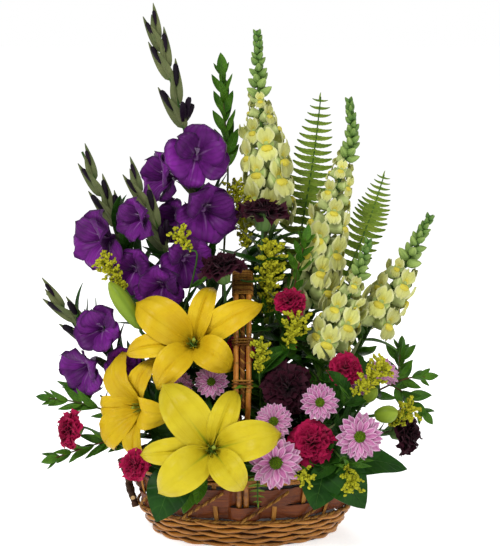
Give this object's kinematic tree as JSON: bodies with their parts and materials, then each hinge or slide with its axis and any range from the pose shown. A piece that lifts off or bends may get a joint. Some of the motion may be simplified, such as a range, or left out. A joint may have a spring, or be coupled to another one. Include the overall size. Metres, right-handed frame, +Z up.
{
  "type": "flower basket arrangement",
  "caption": "Oval woven basket with a tall cane handle, holding a foam block filled with mixed cut flowers and greens.",
  "frame": {"origin": "centre of the basket base's underside, on the surface it stands on", "axes": "+X along the basket's length, to the right as seen from the front; +Y to the back; +Z up"},
  "size_m": [0.5269, 0.374, 0.6834],
  "materials": {
    "willow": "fine golden-brown willow rods",
    "chip_wood": "reddish-brown stained chip wood, scuffed",
    "straw": "twisted straw and seagrass, matte",
    "bark": "dark rough bark",
    "cane": "varnished golden cane",
    "liner": "silver-grey sheet, satin",
    "foam": "dark green wet foam, matte",
    "gladiolus": "deep purple petals, near-black buds, grey-green sheaths",
    "snapdragon": "pale yellow-green florets with brighter lips",
    "fern": "satin green fronds",
    "lily": "warm yellow petals with a green throat",
    "lily_bud": "lime-green closed buds",
    "burgundy": "very dark red ruffled petals",
    "magenta": "magenta ruffled petals",
    "daisy": "lavender-pink rays round a green middle",
    "solidago": "tiny yellow-green buds",
    "leaf": "glossy dark green leaves"
  },
  "bodies": {
    "root": {"basket_base": "willow", "carnation_burgundy_front": "burgundy", "carnation_burgundy_mid": "burgundy", "carnation_burgundy_right": "burgundy", "carnation_burgundy_top": "burgundy", "carnation_magenta_back": "magenta", "carnation_magenta_centre": "magenta", "carnation_magenta_front": "magenta", "carnation_magenta_left": "magenta", "carnation_magenta_right": "magenta", "carnation_magenta_top": "magenta", "daisy_spray_back": "daisy", "daisy_spray_front": "daisy", "daisy_spray_left": "daisy", "daisy_spray_right": "daisy", "daisy_spray_upper": "daisy", "end_tie_left": "bark", "end_tie_right": "bark", "fern_back": "fern", "fern_front": "fern", "fern_right": "fern", "fern_tall": "fern", "floral_foam": "foam", "foot_weave": "willow", "gladiolus_inner": "gladiolus", "gladiolus_left": "gladiolus", "gladiolus_low": "gladiolus", "gladiolus_tall": "gladiolus", "handle_binding": "straw", "handle_cane_left": "cane", "handle_cane_right": "cane", "lily_buds_right": "lily_bud", "lily_left": "lily", "lily_lower": "lily", "lily_upper": "lily", "liner_bowl": "liner", "myrtle_back": "leaf", "myrtle_centre": "leaf", "myrtle_left": "leaf", "myrtle_right": "leaf", "myrtle_tall": "leaf", "rim_bundle": "willow", "salal_back_left": "leaf", "salal_back_right": "leaf", "salal_front_left": "leaf", "salal_front_right": "leaf", "snapdragon_mid": "snapdragon", "snapdragon_right": "snapdragon", "snapdragon_short": "snapdragon", "snapdragon_tall": "snapdragon", "solidago_back": "solidago", "solidago_centre": "solidago", "solidago_front": "solidago", "solidago_left": "solidago", "solidago_right": "solidago", "solidago_top": "solidago", "splint_lower": "chip_wood", "splint_upper": "chip_wood", "stake_frame": "willow", "straw_braid": "straw"}
  },
  "joints": []
}
